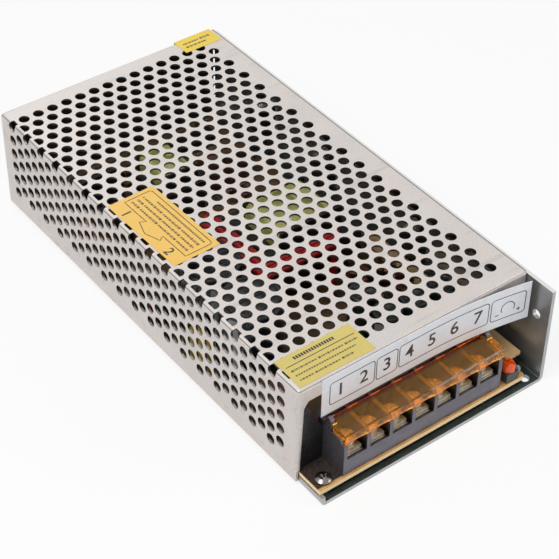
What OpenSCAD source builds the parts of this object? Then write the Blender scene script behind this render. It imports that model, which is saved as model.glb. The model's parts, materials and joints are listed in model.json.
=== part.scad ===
// Mesh case switching power supply: folded chassis, perforated cover,
// seven-way terminal block with a flip cover, and the circuit inside.
// Millimetres. +Z up, the terminal end faces -Y, the solid wall is at +X.
// The origin is at the middle of the underside.

/* [Case] */
// Length from the front edge of the floor to the back panel
case_l = 193; // [185:1:230]
// Width over the left side and the right wall
case_w = 98; // [96:1:120]
// Height from the underside to the top of the cover
case_h = 42; // [40:1:60]
// Thickness of the chassis sheet
chassis_t = 1.5; // [1:0.1:1.8]
// Outer radius of the chassis folds
chassis_fold_r = 2; // [1.7:0.1:2.6]
// Height of the chassis flange on the left
left_flange_h = 3.6; // [3:0.1:3.8]
// Thickness of the cover sheet
cover_t = 0.8; // [0.5:0.1:1]
// Outer radius of the cover folds
cover_fold_r = 1.5; // [1.2:0.1:2]
// Length of floor left open in front of the cover
porch_l = 12.2; // [11:0.1:14]
// Height of the cover's front lip
lip_h = 5.8; // [4:0.1:7]
// Gap between the cover's lower edge and the underside
skirt_gap = 1.6; // [1:0.1:3]
// Clearance between the cover and the chassis
cover_gap = 0.2; // [0.1:0.05:0.3]

/* [Vents] */
// Diameter of one vent hole
vent_d = 4.1; // [3:0.1:4.5]
// Spacing of the vent holes along a row
vent_pitch = 6.09; // [5.8:0.01:7]
// Spacing of the rows
vent_row_pitch = 4.95; // [4.8:0.01:6]
// Least margin between a vent row and the end of the panel
vent_margin = 8; // [7:0.5:12]

/* [Board] */
// Height of the board above the chassis floor
standoff_h = 2.5; // [2:0.1:4]
// Thickness of the circuit board
board_t = 1.6; // [1.2:0.1:2]
// Distance from the front edge of the floor to the board
board_front_gap = 1.4; // [1:0.1:2]
// Free width between the board and the right wall
board_side_gap = 6; // [5.5:0.5:8]
// Thickness of the insulating sheet under the board
film_t = 0.4; // [0.2:0.1:0.6]

/* [Terminal block] */
// Number of ways
ways = 7; // [7:1:7]
// Spacing of the ways
way_pitch = 9.5; // [9:0.1:9.8]
// Thickness of the walls between the ways
barrier_t = 1.5; // [1.2:0.1:1.8]
// Depth of the block from front to back
block_d = 16; // [15.5:0.5:18]
// Left end of the block, from the outer left face of the case
block_inset = 11.3; // [10.5:0.1:13]
// Height of the front sill above the board
sill_h = 6.9; // [6:0.1:7.2]
// Height of the walls between the ways above the board
barrier_h = 15; // [14.5:0.1:15.2]
// Diameter of the screw heads
head_d = 6.4; // [5.5:0.1:6.6]
// Diameter of the screw shafts
shaft_d = 2.9; // [2.5:0.1:3]
// Travel of a clamp plate
clamp_travel = 2.4; // [1:0.1:2.5]

/* [Flip cover] */
// Thickness of the flip cover
flap_t = 1.1; // [0.9:0.1:1.2]
// Height of its front lip
flap_lip_h = 3.6; // [3:0.1:3.8]
// Diameter of its hinge pins
flap_pin_d = 1.4; // [1.2:0.1:1.5]

/* [Labels] */
// Gap between the marking strip and the flip cover below it
strip_gap = 1.5; // [1:0.1:5]
// Thickness of the marking strip
strip_t = 0.25; // [0.2:0.05:0.4]
// Thickness of the stickers
sticker_t = 0.15; // [0.1:0.05:0.3]

/* [Selector switch] */
// Travel of the selector slider
slider_travel = 4; // [3:0.5:4.5]

/* [Hidden] */
$fn = 48;
e = 0.01;                              // overlap that makes two joined shapes one
x_left = -case_w / 2;
x_right = case_w / 2;
y_front = -case_l / 2;
y_back = case_l / 2;
cover_front = y_front + porch_l;
cover_l = y_back - cover_front;
wall_in = x_right - chassis_t;         // inner face of the right wall
wall_drop = 1;                         // top of the right wall below the cover
flange_out = x_left + cover_t + cover_gap;
flange_in = flange_out + chassis_t;
chassis_back = y_back - cover_fold_r;
cover_right = wall_in - cover_gap;
ceiling = case_h - cover_t;

board_z = chassis_t + standoff_h;
board_top = board_z + board_t;
board_left = flange_out + 0.3;         // it lies over the left flange
parts_left = flange_in + 0.3;          // left limit of what hangs through the board
board_right = wall_in - board_side_gap;
board_front = y_front + board_front_gap;
board_back = chassis_back - 3;
board_l = board_back - board_front;
board_cut = 1;                         // cut-off corner at the front right

// Vent rows over the length of the cover, spread evenly about its middle
vent_rows = floor((cover_l - 2 * vent_margin) / vent_row_pitch) + 1;
vent_first = (cover_front + y_back) / 2 + (vent_rows - 1) * vent_row_pitch / 2;
fold_take = 0.64;                      // sheet length that a fold takes up
vent_edge = 2.35;                      // outermost hole centre of the odd rows
fold_foot = board_top + 0.4;           // where the front fold ends above the board
vent_end = 7;                          // least room for a row's last hole at the wall
vent_depth = case_h - skirt_gap - 7;   // the lowest vents on the side

// Fasteners
screw_d = 2.9;
screw_hole_d = 3.0;
screw_head_d = 5.6;
seat_d = 4;                            // pressed-in ends of the standoffs
standoff_d = 4.6;
wall_screw_head_d = 5.6;
wall_screw_y = [cover_front + 22, (cover_front + y_back) / 2 + 8, y_back - 22];
wall_screw_z = case_h - 6;
mount_hole_d = 4.2;
mount_span_x = 50;
mount_span_y = 120;
porch_hole_d = 3.6;

// Terminal block
block_w = ways * way_pitch + barrier_t;
block_x = x_left + block_inset;
block_y = board_front + 0.9;           // its front face
block_back = block_y + block_d;
sill_z = board_top + sill_h;
barrier_z = board_top + barrier_h;
barrier_front_z = board_top + barrier_h - 1.8;
screw_y = block_y + 6.2;
way_gap = way_pitch - barrier_t;       // free width of a way
contact_t = 0.8;
contact_z = sill_z - 0.5;              // underside of the contact plates
clamp_z = contact_z + contact_t + 0.3;
clamp_t = 1;
clamp_w = way_gap - 2.2;
clamp_front = 4.7;                     // reach of a clamp plate in front of its screw
ridge_w = 0.25;
ridge_pitch = 2 * ridge_w;
contact_w = way_gap - 2;
shaft_foot = contact_z - clamp_travel - 2; // a fully lifted screw keeps 2 mm in its well
head_z = clamp_z + clamp_t + 0.05;
head_h = 2.6;
tail_w = 2.8;                          // tails of the contact plates
tail_y = block_back - 5;

// Flip cover
flap_y = block_y + 8.4;                // hinge axis
flap_top = barrier_z + 3.9;            // its upper face over the hinge axis
flap_z = flap_top - flap_t / 2;
flap_fold_z = flap_top - 1;
flap_front = block_y - 0.2;
lug_r = 1.5;                           // lugs at both ends of the block
lug_t = barrier_t;
scallop = 0.4;                         // depth of the scallops in the front lip
scallop_r = pow(way_gap / 2, 2) / (2 * scallop) + scallop / 2;

// Labels
strip_x = x_left + 9.3;
strip_r = 193;                         // bow of its free end
strip_straight = 44;
strip_bow = 41;

// Parts beside the block
trimmer_w = 5.2;
trimmer_x = block_x + block_w + 2.8 + trimmer_w / 2;
trimmer_y = board_front + 0.4 + trimmer_w / 2;

// Selector switch
switch_y = block_back + 85.2;
switch_x = parts_left + 1.2;
slider_z = board_top + 5.5;

// Things standing on the board: [x, y, diameter, height or thickness]
leg_reach = standoff_h - film_t - 0.4; // how far legs stick out below the board
leg_pitch = 5;
can_leg_d = 0.8;
bulk_d = 22;
bulk_x = parts_left + 15.7;
bulk_cans = [for (y = [43.2, 67.2]) [bulk_x, block_back + y, bulk_d, 30]];
output_cans = [for (c = [[33.5, 18.2], [21.5, 18.2], [10, 18.2], [34, 30.7]])
    [board_right - c[0], block_back + c[1], 10.4, 22]];
disc_parts = [for (c = [[23.7, 12, 4], [9.7, 8.5, 3.6], [34.7, 6.5, 3.4]])
    [parts_left + c[0], block_back + 27.7, c[1], c[2]]];
thermistor = [-7.5, block_back + 12.2, 13, 4.6];
resistors = [for (r = [[-20, 21], [-20, 16], [-20, 11], [-8, 20], [-8, 14], [20, 52], [20, 47], [26, 30]])
    [r[0], board_back - r[1]]];
resistor_reach = 5.5;
film_caps = [[parts_left + 0.6, cover_front + 2.2, 7.2, 26, 18], // x, y, width, depth, height
    [11, board_back - 44, 18, 8, 15]];
line_cap = [parts_left + 0.4, block_back + 48.4, 4.7, 12.6, 11];
bridge_at = [parts_left + 6.2, board_back - 30];
chip_at = [14, board_back - 18];
fuse_x = parts_left + 20.2;
fuse_y = block_back + 6;
fuse_clip_x = [fuse_x - 9.4, fuse_x + 6.6];
lamp_at = [board_right - 1.5, board_front + 2.6];

// Wound parts: centre, core size, width of the middle leg, yoke depth, coil width and height
core_at = [12.3, block_back + 76.7];
core_size = [38, 33, 12];
core_leg = 10;
core_yoke = 5;
core_coil = [26, 26];
drive_at = [-2.3, board_back - 35.7];
drive_size = [20.6, 25, 6];
drive_leg = 5;
drive_yoke = 3;
drive_coil = [13.5, 17];
flange_t = 0.9;                        // flanges of the bobbins
filter_at = [parts_left + 14.4, board_back - 48];
filter_size = [18, 9, 17];
filter_leg = 4.5;
filter_yoke = 4;
filter_wall = 3.6;
filter_pins = [10.6, 6];
rail_w = 4;                            // bobbin rails on the board
pin_step = 0.16;                       // spacing of their pins, of the core width
choke_at = [board_right - 17.5, block_back + 40.2];
choke_d = 24;
choke_h = 13;
choke_turns = 14;
choke_ring = [11.2, 19.8];             // inner and outer diameter of the ring
choke_ring_h = 9.6;
wire_d = 1.5;

// Leads round the left side and the front of the main transformer
lead_d = 2.2;
lead_pitch = 2.4;
lead_z = board_top + 26.4;
lead_corner = [for (i = [0:2])
    [bulk_x + bulk_d / 2 + 1.3 + (2 - i) * lead_pitch, core_at[1] - 20 - i * lead_pitch]];
lead_end = [for (i = [0:2]) core_at + [4.3, 16] - i * lead_pitch * [1, 1]];

// Output bus bar along the right edge of the board
bar_w = 6.4;
bar_t = 1.5;
bar_z = board_top + 3.7;
bar_x = wall_in - 3.4 - bar_w;
bar_front = trimmer_y + trimmer_w / 2 + 0.3;
bar_l = 78;
bar_feet = [bar_front + 8, bar_front + bar_l - 4];

// Power packages on the right wall
pad_t = 0.3;
package_t = 4.6;
package_y = [for (d = [14, 54, 106, 144]) cover_front + d];
package_z = case_h - 15;               // their screws, below the cover's flange
package_bottom = package_z - 12.8;
package_leg_x = board_right - 2.5;
package_pins = [-2.54, 0, 2.54];
pin_t = 0.5;
pin_w = 0.8;
pin_play = 0.1;
nut_t = 2.3;

// Round holes in the board: [x, y, diameter]
board_holes = concat(
    [for (c = concat(bulk_cans, output_cans, disc_parts, [thermistor]))
        each leg_pair(c[0], c[1], can_leg_d)],
    [for (r = resistors, s = [-1, 1]) [r[0] + s * resistor_reach, r[1], can_leg_d]],
    [for (c = film_caps) each cap_legs(c)], cap_legs(line_cap), fuse_legs(), bridge_legs(),
    switch_legs(), trimmer_legs(), lamp_legs(), chip_legs(),
    bobbin_legs(core_at, core_size, core_yoke), bobbin_legs(drive_at, drive_size, drive_yoke),
    filter_legs(), choke_legs(), lead_legs());

// ---------------------------------------------------------------- shapes

// A block given by its lowest corner and size
module block(at, size) translate(at) cube(size);

// A cylinder along X, Y or Z from a point
module rod(at, d, l, axis = "z")
    translate(at)
        rotate(axis == "x" ? [0, 90, 0] : axis == "y" ? [-90, 0, 0] : [0, 0, 0])
            cylinder(d = d, h = l);

// A flat profile drawn in X and Z, pushed back along Y
module push_back(y, l) translate([0, y + l, 0]) rotate([90, 0, 0]) linear_extrude(l) children();

// A flat profile drawn in Y and Z, pushed along X
module push_right(x, l)
    translate([x, 0, 0]) rotate([90, 0, 90]) linear_extrude(l) children();

// Section of a fold with outer radius r, in the corner at the origin
module fold_section(r, t)
    intersection() {
        translate([r, r]) difference() { circle(r); circle(r - t); }
        square([r, r]);
    }

// A rounded rectangle with its lowest corner at the origin
module round_rect(size, r) {
    translate([r, 0]) square([size[0] - 2 * r, size[1]]);
    translate([0, r]) square([size[0], size[1] - 2 * r]);
    for (x = [r, size[0] - r], y = [r, size[1] - r]) translate([x, y]) circle(r);
}

// A countersunk screw whose head sits flush in a wall, pointing along -X
module flush_screw(at, l, head) {
    rod([at[0] - l, at[1], at[2]], screw_d, l - 0.3, "x");
    translate([at[0] - 1.2, at[1], at[2]]) rotate([0, 90, 0])
        difference() {
            cylinder(d1 = screw_d - 0.2, d2 = head, h = 1.2);
            for (a = [0, 90]) rotate(a) translate([-1.3, -0.3, 0.6]) cube([2.6, 0.6, 1]);
        }
}

// A pan head screw standing on a face, pointing down
module pan_screw(at, l, head = screw_head_d, h = 2) {
    translate(at) {
        rod([0, 0, -l], screw_d, l + e);
        difference() {
            intersection() {
                cylinder(d = head, h = h);
                translate([0, 0, h - head * 0.72]) sphere(r = head * 0.72);
            }
            for (a = [20, 110]) rotate(a)
                translate([-head * 0.28, -0.4, h - 0.9]) cube([head * 0.56, 0.8, 1]);
        }
    }
}

// Round legs through the board, each [x, y, diameter], rising into their part
module legs(places, rise = e)
    for (p = places)
        rod([p[0], p[1], board_z - leg_reach], p[2], board_t + leg_reach + rise);

// Two legs a distance apart on either side of a point
function leg_pair(x, y, d) = [for (s = [-1, 1]) [x + s * leg_pitch / 2, y, d]];

// ---------------------------------------------------------------- case

module chassis_profile() {
    translate([flange_out + chassis_fold_r, 0])
        square([x_right - flange_out - 2 * chassis_fold_r, chassis_t]);
    translate([flange_out, 0]) fold_section(chassis_fold_r, chassis_t);
    translate([flange_out, chassis_fold_r]) square([chassis_t, left_flange_h - chassis_fold_r]);
    translate([x_right, 0]) mirror([1, 0]) fold_section(chassis_fold_r, chassis_t);
    translate([wall_in, chassis_fold_r])
        square([chassis_t, case_h - wall_drop - chassis_fold_r]);
}

module base_chassis() color([0.78, 0.78, 0.79])
    difference() {
        push_back(y_front, chassis_back - y_front) chassis_profile();
        // bolt holes in the floor
        for (x = [-1, 1] * mount_span_x / 2, y = [-1, 1] * mount_span_y / 2)
            rod([x, y, -1], mount_hole_d, chassis_t + 2);
        // open holes of the porch
        rod([wall_in - 4.2, y_front + 3.2, -1], porch_hole_d, chassis_t + 2);
        rod([wall_in - 1, y_front + 5.7, case_h - 14.6], porch_hole_d, chassis_t + 2, "x");
        // tapped seats of the standoffs
        for (p = standoff_places) rod([p[0], p[1], -1], seat_d + 0.06, chassis_t + 2);
        // countersinks of the wall screws
        for (y = wall_screw_y) wall_countersink(y, wall_screw_z);
        for (y = package_y) wall_countersink(y, package_z);
    }

module wall_countersink(y, z) {
    rod([wall_in - 1, y, z], screw_hole_d, chassis_t + 2, "x");
    translate([x_right - 1.2, y, z]) rotate([0, 90, 0])
        cylinder(d1 = screw_hole_d, d2 = wall_screw_head_d + 0.1, h = 1.2 + e);
}

// Left edge of a row of vents, from the fold outwards: odd rows start nearer
function vent_start(i) = i % 2 == 0 ? vent_edge + vent_pitch / 2 : vent_edge;
function vent_count(i) = floor((cover_right - x_left - vent_start(i) - vent_end) / vent_pitch);
function side_start(i) = i % 2 == 0 ? vent_pitch / 2 + fold_take - vent_edge
                                    : vent_pitch + fold_take - vent_edge;

module vent_row(x0, count)
    for (k = [0:count]) translate([x0 + k * vent_pitch, 0]) circle(d = vent_d, $fn = 28);

module top_panel()
    translate([0, 0, ceiling]) linear_extrude(cover_t) difference() {
        translate([x_left + cover_fold_r, cover_front + cover_fold_r])
            square([cover_right - x_left - cover_fold_r, cover_l - 2 * cover_fold_r]);
        for (i = [0:vent_rows - 1]) translate([0, vent_first - i * vent_row_pitch])
            vent_row(x_left + vent_start(i), vent_count(i));
    }

// Drawn in Y and Z
module side_panel()
    push_right(x_left, cover_t) difference() {
        union() {
            translate([cover_front + cover_fold_r, skirt_gap])
                square([cover_l - 2 * cover_fold_r, case_h - skirt_gap - cover_fold_r]);
            // foot in front of the fold, beside the chassis flange
            translate([cover_front, skirt_gap]) square([cover_fold_r + e, fold_foot - skirt_gap]);
        }
        for (i = [0:vent_rows - 1])
            for (d = [side_start(i):vent_pitch:vent_depth])
                translate([vent_first - i * vent_row_pitch, case_h - d]) circle(d = vent_d, $fn = 28);
    }

// The top fold over the left side, notched by the vents that straddle it
module left_fold()
    difference() {
        push_back(cover_front + cover_fold_r, cover_l - 2 * cover_fold_r)
            translate([x_left, case_h]) mirror([0, 1]) fold_section(cover_fold_r, cover_t);
        straddling_vents();
    }

module straddling_vents()
    for (i = [0:2:vent_rows - 1])
        rod([x_left - 1, vent_first - i * vent_row_pitch, case_h - side_start(i)],
            vent_d, 1.5 + cover_fold_r, "x");

// Upright fold of the left side round to the front, from a given height
module upright_fold(from) {
    translate([x_left, cover_front, from])
        linear_extrude(case_h - from - cover_fold_r) fold_section(cover_fold_r, cover_t);
    // rounded corner where the three folds meet
    translate([x_left + cover_fold_r, cover_front + cover_fold_r, case_h - cover_fold_r])
        intersection() {
            difference() { sphere(r = cover_fold_r); sphere(r = cover_fold_r - cover_t); }
            block([-cover_fold_r, -cover_fold_r, 0], cover_fold_r * [1, 1, 1]);
        }
}

// Front lip with its fold, and the narrow return down the left edge
module front_lip() {
    push_right(x_left + cover_fold_r, cover_right - x_left - cover_fold_r)
        translate([cover_front, case_h]) mirror([0, 1]) fold_section(cover_fold_r, cover_t);
    push_back(cover_front, cover_t)
        polygon([[x_left + cover_fold_r, case_h - cover_fold_r],
                 [cover_right, case_h - cover_fold_r], [cover_right, case_h - lip_h],
                 [x_left + 4.2, case_h - lip_h], [x_left + 2.4, case_h - lip_h - 2.6],
                 [x_left + cover_fold_r, fold_foot + 2.6]]);
    upright_fold(fold_foot);
}

// Plain back panel with its folds
module back_panel() {
    push_right(x_left + cover_fold_r, cover_right - x_left - cover_fold_r)
        translate([y_back, case_h]) mirror([1, 0]) mirror([0, 1]) fold_section(cover_fold_r, cover_t);
    translate([0, cover_front + y_back, 0]) mirror([0, 1, 0]) upright_fold(skirt_gap);
    push_back(y_back - cover_t, cover_t)
        translate([x_left + cover_fold_r, skirt_gap])
            square([cover_right - x_left - cover_fold_r, case_h - skirt_gap - cover_fold_r]);
}

module right_flange()
    difference() {
        block([cover_right - cover_t, cover_front + 6, case_h - 10],
              [cover_t, cover_l - 12, 10 - cover_t + e]);
        for (y = wall_screw_y)
            rod([cover_right - 2, y, wall_screw_z], screw_hole_d, 4, "x");
    }

module perforated_cover() color([0.83, 0.82, 0.81])
    union() {
        difference() { top_panel(); straddling_vents(); }
        side_panel();
        left_fold();
        front_lip();
        back_panel();
        right_flange();
    }

module cover_screws() color([0.75, 0.75, 0.77])
    for (y = wall_screw_y) flush_screw([x_right, y, wall_screw_z], 6, wall_screw_head_d);

// ---------------------------------------------------------------- board

standoff_places = [
    [parts_left + 2.6, board_front + 3.6], [board_right - 14, board_front + 22.6],
    [parts_left + 3.6, board_back - 4.5], [board_right - 6, board_back - 4.5],
    [core_at[0] - 8, core_at[1] + core_size[1] / 2 + 4], [board_right - 6, core_at[1] + 34]];

module board_standoffs() color([0.75, 0.72, 0.6])
    for (p = standoff_places) translate([p[0], p[1], 0]) difference() {
        union() {
            cylinder(d = seat_d, h = chassis_t + e);
            translate([0, 0, chassis_t]) cylinder(d = standoff_d, h = standoff_h);
        }
        translate([0, 0, -1]) cylinder(d = screw_hole_d, h = board_z + 2);
    }

module board_screws() color([0.8, 0.8, 0.82])
    for (p = standoff_places) pan_screw([p[0], p[1], board_top], board_t + standoff_h);

module under_board_film() color([0.16, 0.16, 0.17])
    difference() {
        block([flange_in + 0.6, board_front + 0.5, chassis_t],
              [board_right - flange_in - 0.6, board_l - 0.5, film_t]);
        for (p = standoff_places) rod([p[0], p[1], 0], standoff_d + 0.6, chassis_t + 2);
        for (x = [-1, 1] * mount_span_x / 2, y = [-1, 1] * mount_span_y / 2)
            rod([x, y, 0], mount_hole_d + 3, chassis_t + 2);
    }

module circuit_board() color([0.82, 0.65, 0.42])
    translate([0, 0, board_z]) linear_extrude(board_t) difference() {
        polygon([[board_left, board_front], [board_right - board_cut, board_front],
                 [board_right, board_front + board_cut], [board_right, board_back],
                 [board_left, board_back]]);
        for (p = standoff_places) translate([p[0], p[1]]) circle(d = screw_hole_d);
        for (p = board_holes) translate([p[0], p[1]]) circle(d = p[2] + pin_play, $fn = 20);
        // slots of the contact tails
        for (k = [0:ways - 1])
            translate([way_x(k) - tail_w / 2 - 0.1, tail_y - 0.1]) square([tail_w + 0.2, contact_t + 0.2]);
        // slots of the package pins
        for (y = package_y, d = package_pins)
            translate([package_leg_x - pin_play / 2, y + d - (pin_w + pin_play) / 2])
                square([pin_t + pin_play, pin_w + pin_play]);
    }

// ---------------------------------------------------------------- terminal block

module barrier_profile()
    polygon([[block_y, board_top], [block_y, barrier_front_z - 0.7],
             [block_y + 0.2, barrier_front_z - 0.2], [block_y + 0.7, barrier_front_z],
             [block_y + 1.3, barrier_front_z], [block_y + 1.9, barrier_z - 0.4],
             [block_y + 2.5, barrier_z], [block_back - 6.2, barrier_z],
             [block_back - 5.6, barrier_z + 1.6], [block_back, barrier_z + 1.6],
             [block_back, board_top]]);

module terminal_housing() color([0.16, 0.16, 0.18])
    difference() {
        union() {
            // floor of the ways, up to the underside of the contact plates
            block([block_x, block_y, board_top], [block_w, block_d, contact_z - board_top]);
            // front sill
            block([block_x, block_y, board_top], [block_w, 0.9, sill_h]);
            // back wall
            block([block_x, block_back - 4, board_top], [block_w, 4, barrier_h + 1.6]);
            for (k = [0:ways]) push_right(block_x + k * way_pitch, barrier_t) barrier_profile();
            // lugs that carry the flip cover
            both_ends() {
                block([0, flap_y - lug_r, barrier_z - 1], [lug_t, 2 * lug_r, flap_z - barrier_z + 1]);
                rod([0, flap_y, flap_z], 2 * lug_r, lug_t, "x");
            }
        }
        // wells under the screws
        for (k = [0:ways - 1])
            rod([way_x(k), screw_y, shaft_foot - 0.8], shaft_d + 1.2, contact_z);
        // bores of the hinge pins
        both_ends() rod([-1, flap_y, flap_z], flap_pin_d + 0.16, lug_t + 2, "x");
        // small arches along the front foot
        for (k = [0:ways - 1])
            block([way_x(k) - 1.6, block_y - 1, board_top - 1], [3.2, 1.8, 1.7]);
        // slots where the contact tails pass down to the board
        for (k = [0:ways - 1])
            block([way_x(k) - tail_w / 2 - 0.1, tail_y - 0.1, board_top - 1],
                  [tail_w + 0.2, contact_t + 0.2, contact_z - board_top + 2]);
    }

function way_x(k) = block_x + barrier_t / 2 + (k + 0.5) * way_pitch;

// Puts a shape at the left end of the block, and mirrored at the right end
module both_ends() for (s = [0, 1])
    translate([block_x + s * block_w, 0, 0]) mirror([s, 0, 0]) children();

module contact_plates() color([0.8, 0.78, 0.7])
    for (k = [0:ways - 1]) translate([way_x(k), 0, 0]) {
        difference() {
            block([-contact_w / 2, block_y + 1, contact_z],
                  [contact_w, tail_y + contact_t - block_y - 1, contact_t]);
            rod([0, screw_y, contact_z - 1], shaft_d + 0.1, 3);
        }
        block([-tail_w / 2, tail_y, board_z - 1.2], [tail_w, contact_t, contact_z - board_z + 1.2 + e]);
    }

// Square clamp plate with ridges across it in front of the screw's head
module clamp_plate(k) color([0.85, 0.84, 0.8])
    translate([way_x(k), screw_y, clamp_z]) difference() {
        union() {
            block([-clamp_w / 2, -clamp_front, 0], [clamp_w, 8.6, clamp_t]);
            for (y = [-clamp_front : ridge_pitch : -head_d / 2 - ridge_w - 0.15])
                block([-clamp_w / 2, y, clamp_t - e], [clamp_w, ridge_w, ridge_w]);
        }
        rod([0, 0, -1], shaft_d + 0.5, 4);
    }

module terminal_screw(k) color([0.82, 0.82, 0.8])
    translate([way_x(k), screw_y, head_z]) {
        rod([0, 0, shaft_foot - head_z], shaft_d, head_z - shaft_foot + e);
        difference() {
            intersection() {
                cylinder(d = head_d, h = head_h);
                translate([0, 0, head_h - head_d * 0.8]) sphere(r = head_d * 0.8);
            }
            for (a = [0, 90]) rotate(a + k * 35)
                translate([-head_d * 0.36, -0.5, head_h - 1.3]) cube([head_d * 0.72, 1, 2]);
        }
    }

module flap_profile()
    polygon([[flap_y + 0.9, flap_top + 0.1], [flap_y + 0.9, flap_top - flap_t + 0.1],
             [flap_front + flap_t, flap_fold_z - flap_t], [flap_front + flap_t, flap_fold_z - flap_t - 0.3],
             [flap_front, flap_fold_z - flap_t - 0.3], [flap_front + 0.1, flap_fold_z - 0.5],
             [flap_front + 0.7, flap_fold_z]]);

module terminal_flap() color([0.8, 0.45, 0.08, 0.75]) {
    difference() {
        union() {
            push_right(block_x, block_w) flap_profile();
            // front lip, scalloped between the barriers
            push_back(flap_front, flap_t) difference() {
                translate([block_x, flap_fold_z - flap_lip_h])
                    square([block_w, flap_lip_h - flap_t]);
                for (k = [0:ways - 1])
                    translate([way_x(k), flap_fold_z - flap_lip_h + scallop - scallop_r])
                        circle(scallop_r, $fn = 120);
            }
            // stiffening rims at both ends
            both_ends() block([0, flap_front + 0.5, flap_fold_z - flap_t - 0.7], [0.8, 5.5, 1]);
        }
        both_ends() block([-1, flap_y - lug_r - 0.5, flap_z - 5], [lug_t + 1.4, 5, 10]);
    }
    both_ends() rod([0.1, flap_y, flap_z], flap_pin_d, lug_t + 1.5, "x");
}

// Black sheet from the cover's left side to the block, cut off aslant, standing on the board
module barrier_sheet() color([0.12, 0.12, 0.13])
    push_back(cover_front + cover_t + 0.15, 0.5)
        polygon([[board_left, board_top], [block_x - 0.2, board_top],
                 [block_x - 0.2, barrier_z - 0.8], [x_left + 4.6, case_h - 9.4],
                 [board_left, case_h - 8.6]]);

// ---------------------------------------------------------------- labels

module marking_strip() color([0.88, 0.89, 0.92])
    translate([strip_x, cover_front, flap_top + strip_gap]) linear_extrude(case_h - flap_top - strip_gap) {
        translate([0, -strip_t]) square([strip_straight + e, strip_t]);
        intersection() {
            translate([strip_straight, -strip_r - strip_t]) difference() {
                circle(strip_r + strip_t, $fn = 720);
                circle(strip_r, $fn = 720);
            }
            translate([strip_straight, -20]) square([strip_bow, 21]);
        }
    }

module front_sticker() color([0.87, 0.8, 0.4])
    block([x_left + 0.6 + cover_fold_r, cover_front + cover_fold_r, case_h],
          [30, 14, sticker_t]);

module selector_sticker() color([0.97, 0.8, 0.34])
    translate([x_left + cover_fold_r + 1.2, switch_y, case_h]) rotate(1.2)
        block([0, -19.8, 0], [19, 39.6, sticker_t]);

module back_sticker() color([0.93, 0.86, 0.25]) {
    block([cover_right - 18, y_back - 8.5, case_h], [16.5, 8.5 + sticker_t, sticker_t]);
    block([cover_right - 18, y_back, case_h - 8], [16.5, sticker_t, 8 + e]);
}

// ---------------------------------------------------------------- beside the block

function trimmer_legs() = [for (s = [-2, 2]) [trimmer_x + s, trimmer_y, 0.7]];

module trimmer_body() color([0.2, 0.22, 0.24]) {
    translate([trimmer_x, trimmer_y, board_top]) difference() {
        block([-trimmer_w / 2, -trimmer_w / 2, 0], [trimmer_w, trimmer_w, 4]);
        translate([0, 0, 2.4]) cylinder(d = 2.1, h = 3);
    }
    legs(trimmer_legs());
}

module trimmer_rotor() color([0.9, 0.42, 0.1])
    translate([trimmer_x, trimmer_y, board_top]) {
        translate([0, 0, 2.6]) cylinder(d = 1.95, h = 1.6);
        difference() {
            union() {
                translate([0, 0, 4.1]) cylinder(d = trimmer_w - 0.1, h = 1.9);
                translate([0, 0, 6 - e]) cylinder(d1 = trimmer_w - 0.1, d2 = 3.4, h = 1.4);
            }
            for (a = [30, 120]) rotate(a) translate([-2.1, -0.4, 6.2]) cube([4.2, 0.8, 2]);
        }
    }

function lamp_legs() = [for (s = [-0.65, 0.65]) [lamp_at[0], lamp_at[1] + s, 0.5]];

module indicator_lamp() color([0.85, 0.87, 0.86]) {
    translate([lamp_at[0], lamp_at[1], board_top]) {
        cylinder(d = 2.5, h = 0.6);
        cylinder(d = 2.2, h = 2.2);
        translate([0, 0, 2.2 - e]) intersection() {
            sphere(d = 2.2);
            cylinder(d = 3, h = 2);
        }
    }
    legs(lamp_legs());
}

// ---------------------------------------------------------------- right wall

// A power package standing against the wall, with its legs bent over to the board
module package(y) difference() {
    union() {
        block([wall_in - pad_t - package_t, y - 5.2, package_bottom], [package_t, 10.4, 9.2]);
        block([wall_in - pad_t - 1.3, y - 5.2, package_z - 3.6 - e], [1.3, 10.4, 6.4]);
        for (d = package_pins) translate([0, y + d - pin_w / 2, 0]) {
            block([wall_in - pad_t - 2.6, 0, board_top + 2],
                  [pin_t, pin_w, package_bottom - board_top - 2 + e]);
            block([package_leg_x, 0, board_top + 2],
                  [wall_in - pad_t - 2.1 - package_leg_x, pin_w, pin_t]);
            block([package_leg_x, 0, board_z - 1], [pin_t, pin_w, board_t + 3.2]);
        }
    }
    rod([wall_in - 10, y, package_z], screw_hole_d + 0.4, 12, "x");
}

module output_rectifiers() color([0.15, 0.15, 0.16]) for (i = [0, 1]) package(package_y[i]);

module switching_transistors() color([0.15, 0.15, 0.16]) for (i = [2, 3]) package(package_y[i]);

module insulating_pads() color([0.55, 0.6, 0.62])
    for (y = package_y) difference() {
        block([wall_in - pad_t, y - 6.5, package_bottom - 1], [pad_t, 13, 17.4]);
        rod([wall_in - 1, y, package_z], screw_hole_d + 0.6, 2, "x");
    }

module package_screws() color([0.75, 0.75, 0.77])
    for (y = package_y) flush_screw([x_right, y, package_z], 8, wall_screw_head_d);

module package_nuts() color([0.75, 0.75, 0.77])
    for (y = package_y) translate([wall_in - pad_t - 1.3 - nut_t, y, package_z]) rotate([0, 90, 0])
        difference() {
            cylinder(d = 6, h = nut_t, $fn = 6);
            translate([0, 0, -1]) cylinder(d = screw_hole_d, h = nut_t + 2);
        }

// Flat bar on two feet that stand on the board
module output_bus_bar() color([0.8, 0.68, 0.45]) {
    block([bar_x, bar_front, bar_z], [bar_w, bar_l, bar_t]);
    for (y = bar_feet) block([bar_x, y, board_top], [1.2, 4, bar_z - board_top + e]);
}

// ---------------------------------------------------------------- mains side

function fuse_legs() = [for (x = fuse_clip_x) [x + 1.4, fuse_y, 1]];

module fuse() color([0.85, 0.88, 0.88])
    translate([fuse_x, fuse_y, board_top + 4]) {
        rod([-6.5, 0, 0], 5, 13, "x");
        for (x = [-10, 6]) rod([x, 0, 0], 5.2, 4, "x");
    }

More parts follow.
